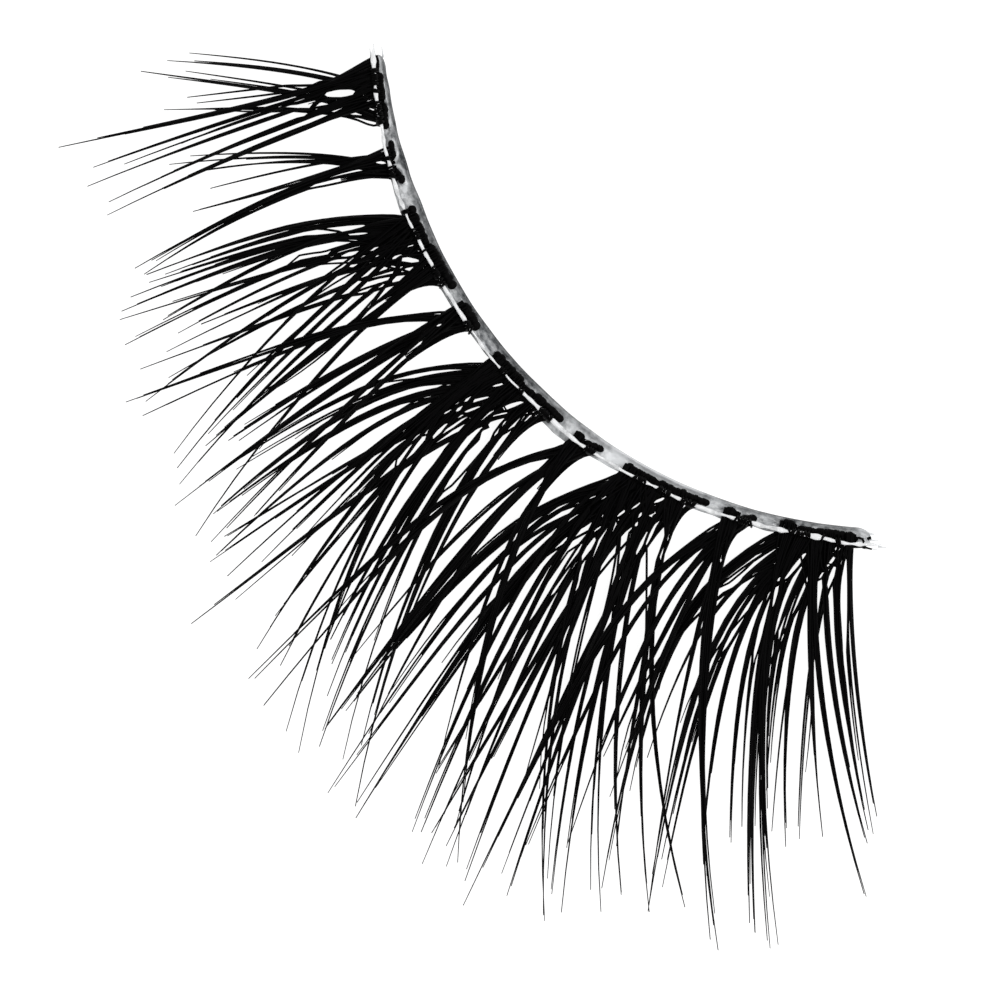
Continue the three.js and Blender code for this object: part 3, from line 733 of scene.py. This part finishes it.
def add_wrap(curve, along):
    """One hair of a wrap, over the thread from a knot to the roots of the lashes."""
    middle = from_table(THREAD_PATH, along) * MM
    slant = vary.uniform(-WRAP_SLANT, WRAP_SLANT)
    over = thread_high.z + WRAP_OVER * HAIR_RADIUS
    spline = curve.splines.new("POLY")
    spline.points.add(WRAP_SEGMENTS)
    for step, point in enumerate(spline.points):
        share = step / WRAP_SEGMENTS
        across = 2 * share - 1
        height = root_level + (over - root_level) * math.sqrt(max(1 - across ** 2, WRAP_FOOT))
        point.co = (*on_band(along + slant * (share - 0.5), middle + across * WRAP_REACH, height), 1)
        point.radius = WRAP_THICKNESS


def add_knot(knots, along, out, half_width):
    """One knot of hair behind the thread: a rounded lump that lies on the film."""
    size = [
        KNOT_LENGTH * vary.uniform(*LENGTH_VARIATION), half_width * vary.uniform(*WIDTH_VARIATION),
        KNOT_HEIGHT * vary.uniform(*HEIGHT_VARIATION)]
    height = root_level + size[2] + vary.uniform(0, KNOT_LIFT)
    turn = Matrix.Rotation(bearing_at(along) + vary.uniform(-KNOT_TURN, KNOT_TURN), 4, "Z")
    place = Matrix.Translation(on_band(along, out + vary.uniform(-KNOT_SLIP, KNOT_SLIP), height))
    bmesh.ops.create_uvsphere(
        knots, u_segments=KNOT_SIDES, v_segments=KNOT_RINGS, radius=1,
        matrix=place @ turn @ Matrix.Diagonal((*size, 1)))


def add_loose_end(curve, points, thickness):
    """A loose end of hair through a few (percent along, millimetres out, millimetres up) points."""
    spline = curve.splines.new("POLY")
    spline.points.add(len(points) - 1)
    for point, (along, out, lift) in zip(spline.points, points):
        point.co = (*on_band(along, out * MM, root_level + (LOOSE_LEVEL + lift) * MM), 1)
        point.radius = thickness


# Black polyester lash fibre: drawn thread with a satin skin, almost without highlights. Its
# roughness changes a little from place to place, where the fibre was crimped and cut.
FIBRE_BLACK = "020202"
FIBRE_WORN = "080708"
MOTTLES_PER_MM = 0.9
SATIN_LEAST = 0.42
SATIN_MOST = 0.6
fibre, tree = new_material("black_polyester_lash_fibre")
place = add_node(tree, "ShaderNodeTexCoord", {}, {})
mottle = add_node(tree, "ShaderNodeTexNoise", {}, {
    "Vector": place.outputs["Object"], "Scale": MOTTLES_PER_MM / MM, "Detail": 3, "Roughness": 0.6})
black = add_node(tree, "ShaderNodeMix", {"data_type": "RGBA"}, {
    "Factor": mottle.outputs["Fac"], "A": srgb(FIBRE_BLACK), "B": srgb(FIBRE_WORN)})
satin = add_node(tree, "ShaderNodeMapRange", {}, {
    "Value": mottle.outputs["Fac"], "From Min": 0.3, "From Max": 0.7, "To Min": SATIN_LEAST,
    "To Max": SATIN_MOST})
surface = add_node(tree, "ShaderNodeBsdfPrincipled", {}, {
    "Base Color": black.outputs["Result"], "Roughness": satin.outputs["Result"], "IOR": 1.5,
    "Specular IOR Level": 0.035})
add_node(tree, "ShaderNodeOutputMaterial", {}, {"Surface": surface.outputs["BSDF"]})

for fan_name, fan in FANS.items():
    curve = bpy.data.curves.new(fan_name, "CURVE")
    curve.dimensions = "3D"
    curve.bevel_depth = HAIR_RADIUS
    curve.bevel_resolution = 0
    curve.use_fill_caps = True
    for lock in fan["locks"]:
        hairs = lock[4]
        slit = (
            vary.randrange(1, max(hairs, 2)) - hairs / 2, vary.uniform(*SLIT_WIDTH) if hairs > 1 else 0,
            vary.uniform(*SLIT_START))
        for hair in range(hairs):
            reach_part = 1 if hair == hairs // 2 else 1 - vary.uniform(0.0, TIP_STAGGER)
            add_hair(curve, fan, lock, hair - (hairs - 1) / 2, reach_part, slit=slit)
        for _ in range(1 + hairs // HAIRS_TO_A_SHORT):
            side = vary.uniform(-SIDE_SPREAD, SIDE_SPREAD) * hairs
            add_hair(curve, fan, lock, side, vary.uniform(*SHORT_REACH))
    for _ in range(fan["strayed"]):
        lock = vary.choice(fan["locks"])
        others = [other for other in fan["locks"] if 0 < abs(other[0] - lock[0]) < STRAY_SHIFT]
        crossed = (vary.choice(others)[0], *lock[1:])
        side = vary.uniform(-STRAY_SPREAD, STRAY_SPREAD) * lock[4]
        add_hair(curve, fan, crossed, side, vary.uniform(*STRAY_REACH), vary.uniform(*STRAY_FADE))
    for _ in range(fan["filled"]):
        lock = vary.choice(fan["locks"])
        shifted = (lock[0] + vary.uniform(-1, 1) * FILL_SHIFT, *lock[1:])
        side = vary.uniform(-SIDE_SPREAD, SIDE_SPREAD) * lock[4]
        add_hair(curve, fan, shifted, side, vary.uniform(*FILL_REACH))
    for corner in fan.get("corners", []):
        add_corner(curve, corner)
    for first, last in fan["wraps"]:
        along = first
        while along < last:
            add_wrap(curve, along)
            along += to_percent(vary.uniform(*WRAP_SPACING))
    for thickness, points in fan.get("loose", []):
        add_loose_end(curve, points, thickness)
    drawn = bpy.data.objects.new(fan_name, curve)
    bpy.context.scene.collection.objects.link(drawn)
    bpy.context.view_layer.update()
    evaluated = drawn.evaluated_get(bpy.context.evaluated_depsgraph_get())
    hair_mesh = bpy.data.meshes.new_from_object(evaluated)
    bpy.data.objects.remove(drawn)
    lashes = bmesh.new()
    lashes.from_mesh(hair_mesh)
    for first, last, first_out, last_out, half_width in fan["knots"]:
        knots = max(round(to_length(last - first) / KNOT_PITCH), 2)
        inset = to_percent(KNOT_LENGTH)
        for knot in range(knots):
            share = knot / (knots - 1)
            along = first + inset + (last - first - 2 * inset) * share
            out = (first_out + (last_out - first_out) * share) * MM
            add_knot(lashes, along + vary.uniform(-KNOT_SHIFT, KNOT_SHIFT), out, half_width * MM)
    bmesh.ops.recalc_face_normals(lashes, faces=lashes.faces)
    piece = add_piece(fan_name, lashes, fibre)
    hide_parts(f"lash_{fan_name}")

# Front thread: one clear monofilament over the roots of all the lashes. It was laid last, into wet
# glue, so it carries beads of it, rides over each fan and dips to the film between two.
THREAD_RADIUS = 0.105 * MM
THREAD_SIDES = 10
THREAD_STEPS = 520
THREAD_TAIL = 1.4
THREAD_TIP = 0.25
THREAD_DROP_RUN = 0.35 * MM
THREAD_WAVE = 0.035 * MM
THREAD_WAVE_LENGTH = 0.7 * MM
THREAD_BEAD = 0.6
THREAD_BEAD_LENGTH = 0.33 * MM

# How wide the thread shows with the glue on it: percent along, and a share of THREAD_RADIUS.
THREAD_WIDTH = [
    (0, 1.0), (2.5, 0.7), (4.3, 0.7), (5.5, 0.85), (9, 0.7), (12.5, 0.6), (14.5, 1.0), (17, 0.75),
    (20, 0.75), (21, 0.45), (24, 0.4), (25.5, 0.6), (28, 0.7), (31, 0.45), (34, 0.65), (36, 0.65),
    (41, 0.65), (43.5, 0.4), (48.5, 0.4), (50, 0.75), (52, 0.75), (56, 0.85), (60, 0.65), (66.5, 0.5),
    (70, 0.65), (74, 0.6), (78, 0.75), (81, 0.7), (84, 0.6), (88, 1.1), (90, 0.6), (92.8, 1.05),
    (95, 0.6), (97, 0.7), (100, 0.9)]


def thread_height(along):
    """Height of the thread's middle: over the hairs at a fan, near the film between two."""
    gaps = [
        to_length(max(first - along, along - last, 0))
        for fan in FANS.values() for first, last, *_ in fan["knots"]]
    cover = 1 - smooth(THREAD_RADIUS, THREAD_RADIUS + THREAD_DROP_RUN, min(gaps))
    low = thread_low.z + THREAD_RADIUS
    return low + (thread_high.z - THREAD_RADIUS - low) * cover


thread_profile = [
    (THREAD_RADIUS * math.cos(2 * math.pi * side / THREAD_SIDES),
     THREAD_RADIUS * math.sin(2 * math.pi * side / THREAD_SIDES))
    for side in range(THREAD_SIDES)]
thread = sweep_along_band(thread_profile, -THREAD_TAIL, 100 + THREAD_TAIL, THREAD_STEPS)
for vert in thread.verts:
    along, out = band_place(vert.co)
    line = Vector((to_length(along), 0, 0))
    middle = from_table(THREAD_PATH, along) * MM + THREAD_WAVE * wobble(line, THREAD_WAVE_LENGTH, 4)
    bead = from_table(THREAD_WIDTH, along) * (1 + THREAD_BEAD * wobble(line, THREAD_BEAD_LENGTH, 5))
    bead *= 1 - (1 - THREAD_TIP) * smooth(0, THREAD_TAIL, max(-along, along - 100))
    vert.co = on_band(along, middle + out * bead, thread_height(along) + vert.co.z * min(bead, 1))

# Clear nylon monofilament under a skin of glue, painted white all over: a painted highlight that stands in
# for the light it catches, with the black of the hairs showing faintly through.
THREAD_HIGHLIGHT_WHITE = "fcfdfe"
RIPPLES_PER_MM = 3.2
RIPPLE_DEPTH = 0.03 * MM
nylon, tree = new_material("clear_nylon_thread")
place = add_node(tree, "ShaderNodeTexCoord", {}, {})
ripple = add_node(tree, "ShaderNodeTexNoise", {}, {
    "Vector": place.outputs["Object"], "Scale": RIPPLES_PER_MM / MM, "Detail": 2, "Roughness": 0.5})
skin = add_node(tree, "ShaderNodeBump", {}, {
    "Strength": 0.3, "Distance": RIPPLE_DEPTH, "Height": ripple.outputs["Fac"]})
surface = add_node(tree, "ShaderNodeBsdfPrincipled", {}, {
    "Base Color": srgb(THREAD_HIGHLIGHT_WHITE), "Roughness": 0.12, "IOR": 1.53, "Transmission Weight": 0.2,
    "Normal": skin.outputs["Normal"]})
add_node(tree, "ShaderNodeOutputMaterial", {}, {"Surface": surface.outputs["BSDF"]})

front_thread = add_piece("thread", thread, nylon)
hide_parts("front_thread")

# Surface: the plain white paper that the strip lies on. It is matt and is lit until it is pure white,
# so most of its brightness comes from a glow, and hardly a shadow shows on it.
FLOOR_SIDE = 1.6
FLOOR_WHITE = "8c8c8c"
FLOOR_GLOW = 0.9
paper, tree = new_material("white_paper")
surface = add_node(tree, "ShaderNodeBsdfPrincipled", {}, {
    "Base Color": srgb(FLOOR_WHITE), "Roughness": 0.9, "Specular IOR Level": 0.1,
    "Emission Color": (1, 1, 1, 1), "Emission Strength": FLOOR_GLOW})
add_node(tree, "ShaderNodeOutputMaterial", {}, {"Surface": surface.outputs["BSDF"]})
sheet = bmesh.new()
bmesh.ops.create_grid(sheet, x_segments=1, y_segments=1, size=FLOOR_SIDE / 2)
floor_mesh = bpy.data.meshes.new("floor")
sheet.to_mesh(floor_mesh)
sheet.free()
floor_mesh.materials.append(paper)
floor = bpy.data.objects.new("floor", floor_mesh)
bpy.context.scene.collection.objects.link(floor)

# Light: a white tent all round, with one soft box high on the concave side for the glue's highlights.
TENT_STRENGTH = 0.8
BOX_SIDE = 0.25
BOX_PLACE = Vector((0.11, 0.12, 0.5))
BOX_WATTS = 0.8
world = bpy.data.worlds.new("tent")
bpy.context.scene.world = world
world.use_nodes = True
world.node_tree.nodes["Background"].inputs["Color"].default_value = (1, 1, 1, 1)
world.node_tree.nodes["Background"].inputs["Strength"].default_value = TENT_STRENGTH
box_light = bpy.data.lights.new("soft_box", "AREA")
box_light.size = BOX_SIDE
box_light.energy = BOX_WATTS
soft_box = bpy.data.objects.new("soft_box", box_light)
soft_box.location = BOX_PLACE
soft_box.rotation_euler = (-BOX_PLACE).to_track_quat("-Z", "Y").to_euler()
bpy.context.scene.collection.objects.link(soft_box)

# Camera: straight above, as in the photograph, turned so that the band runs from the top down to
# the right. The long lens stands far off, so the curled tips keep their place.
FRAME_WIDTH = 41.8 * MM
VIEW_CENTRE = Vector((0.50 * MM, 1.79 * MM, 0))
VIEW_UP = Vector((-0.701, 0.713, 0)).normalized()
LENS = 1200
SENSOR = 36
FARTHEST = 20
camera_data = bpy.data.cameras.new("camera")
camera_data.lens = LENS
camera_data.sensor_width = SENSOR
camera_data.clip_end = FARTHEST
camera = bpy.data.objects.new("camera", camera_data)
camera_distance = FRAME_WIDTH * LENS / SENSOR
view_right = VIEW_UP.cross(Vector((0, 0, 1)))
turn = Matrix((view_right, VIEW_UP, Vector((0, 0, 1)))).transposed()
camera.matrix_world = Matrix.Translation(VIEW_CENTRE + Vector((0, 0, camera_distance))) @ turn.to_4x4()
bpy.context.scene.collection.objects.link(camera)
bpy.context.scene.camera = camera
bpy.context.scene.view_settings.view_transform = "Standard"
